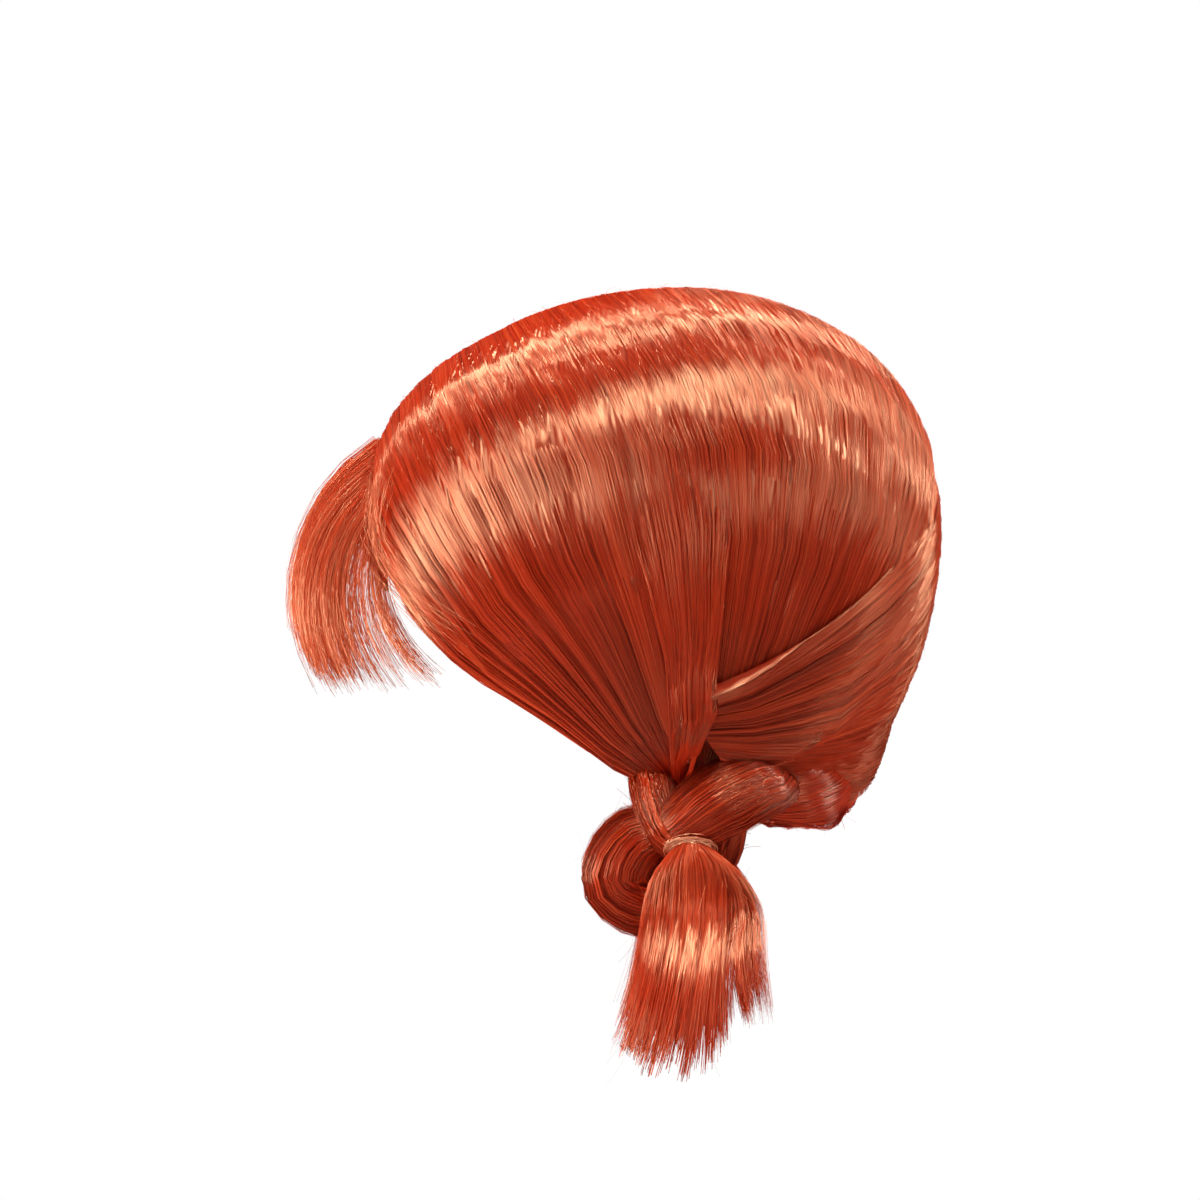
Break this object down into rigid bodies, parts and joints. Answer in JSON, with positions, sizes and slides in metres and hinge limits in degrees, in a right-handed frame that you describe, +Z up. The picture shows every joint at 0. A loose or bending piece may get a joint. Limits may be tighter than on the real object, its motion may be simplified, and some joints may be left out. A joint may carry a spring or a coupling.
{
  "type": "synthetic wig",
  "caption": "Copper-red synthetic wig with a centre parting, a fringe, swept sides and short looped plaits that end in loose tufts.",
  "frame": {"origin": "top of the wearer's head, on the inside of the cap at the crown", "axes": "+Z up out of the crown, -Y the way the wearer faces, +X towards the wearer's left"},
  "size_m": [0.1766, 0.2316, 0.2871],
  "materials": {
    "hair": "glossy combed synthetic fibre, copper red",
    "fringe_hair": "fine synthetic fibre, copper red, thin towards the tips",
    "tuft_hair": "loose synthetic fibre, copper red, with cut tips",
    "cap_net": "plain knitted cap, dark red-brown",
    "tie_elastic": "thin elastic band, peach"
  },
  "bodies": {
    "root": {"cap": "cap_net", "left_side_hair": "hair", "right_side_hair": "hair", "left_back_hair": "hair", "right_back_hair": "hair", "left_ear_lock": "hair", "right_ear_lock": "hair", "fringe": "fringe_hair", "nape_roll": "hair", "left_braid": "hair", "right_braid": "hair", "left_braid_tie": "tie_elastic", "right_braid_tie": "tie_elastic", "left_tuft": "tuft_hair", "right_tuft": "tuft_hair"}
  },
  "joints": []
}
